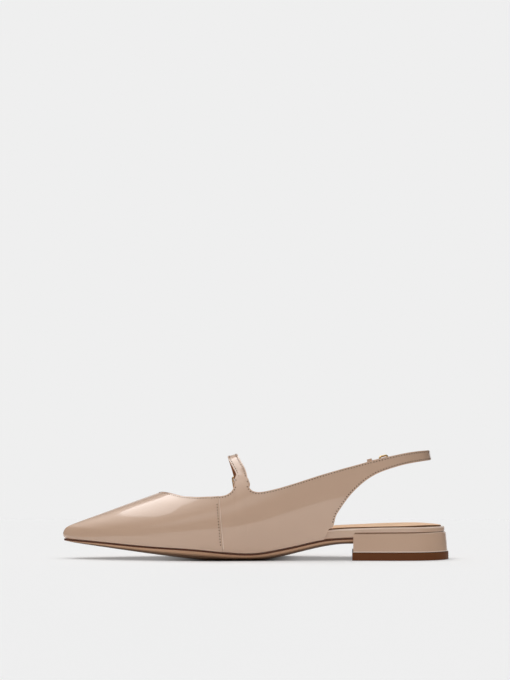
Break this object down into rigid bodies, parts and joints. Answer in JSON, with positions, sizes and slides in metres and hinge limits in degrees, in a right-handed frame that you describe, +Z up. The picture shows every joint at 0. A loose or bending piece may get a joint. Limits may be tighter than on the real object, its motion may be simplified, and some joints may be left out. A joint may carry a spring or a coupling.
{
  "type": "slingback flat shoe",
  "caption": "Pointed-toe slingback flat in patent leather with a buckled instep strap and a low block heel, for the right foot.",
  "frame": {"origin": "middle of the shoe's length and width, on the floor that it stands on", "axes": "+X from the toe towards the heel, +Y from the inner to the outer side of the foot, +Z up"},
  "size_m": [0.2684, 0.0765, 0.0753],
  "materials": {
    "patent_leather": "high gloss",
    "sock_leather": "matte",
    "sole_leather": "satin, dark dyed upper edge",
    "top_lift_rubber": "matte",
    "gold_metal": "polished"
  },
  "bodies": {
    "root": {"outsole": "sole_leather", "insole_board": "patent_leather", "insole_sock": "sock_leather", "heel_block": "patent_leather", "heel_top_lift": "top_lift_rubber", "upper": "patent_leather", "instep_strap": "patent_leather", "instep_chape": "patent_leather", "instep_buckle": "gold_metal", "instep_prong": "gold_metal", "instep_keeper": "patent_leather", "sling_chape": "patent_leather", "sling_buckle": "gold_metal", "sling_prong": "gold_metal", "sling_keeper": "patent_leather"}
  },
  "joints": []
}
